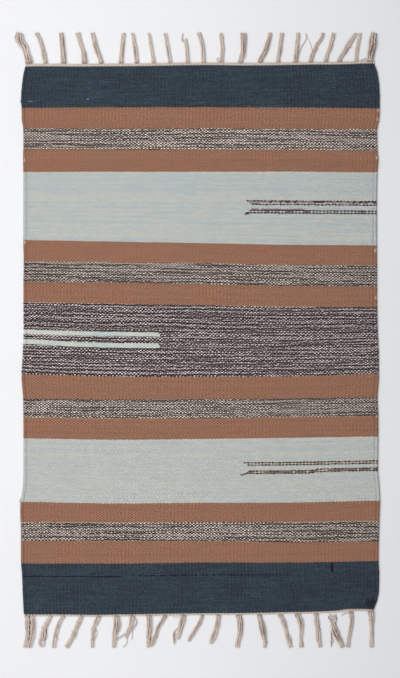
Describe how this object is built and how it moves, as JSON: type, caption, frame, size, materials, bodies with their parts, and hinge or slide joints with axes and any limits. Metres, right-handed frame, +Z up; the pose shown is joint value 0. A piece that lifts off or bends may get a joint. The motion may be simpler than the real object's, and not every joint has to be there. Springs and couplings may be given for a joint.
{
  "type": "flat-woven kilim rug with fringed ends",
  "caption": "Small flat-woven striped kilim rug with a cream heading and loose tassel fringe along both short ends, lying flat.",
  "frame": {"origin": "bottom centre of the whole rug, fringes included, on the floor it lies on", "axes": "+Z up out of the floor, Y along the rug's length with +Y towards the end with 21 tassels, +X to the right with that end up"},
  "size_m": [0.6108, 1.0334, 0.0065],
  "materials": {
    "striped_weave": "matte weft-faced plain weave of cotton yarn in stripes of slate blue, terracotta, pale ice blue and dark-and-cream marl",
    "cream_yarn": "matte undyed plied cotton warp yarn"
  },
  "bodies": {
    "root": {"woven_body": "striped_weave", "fringe_far": "cream_yarn", "fringe_near": "cream_yarn"}
  },
  "joints": []
}
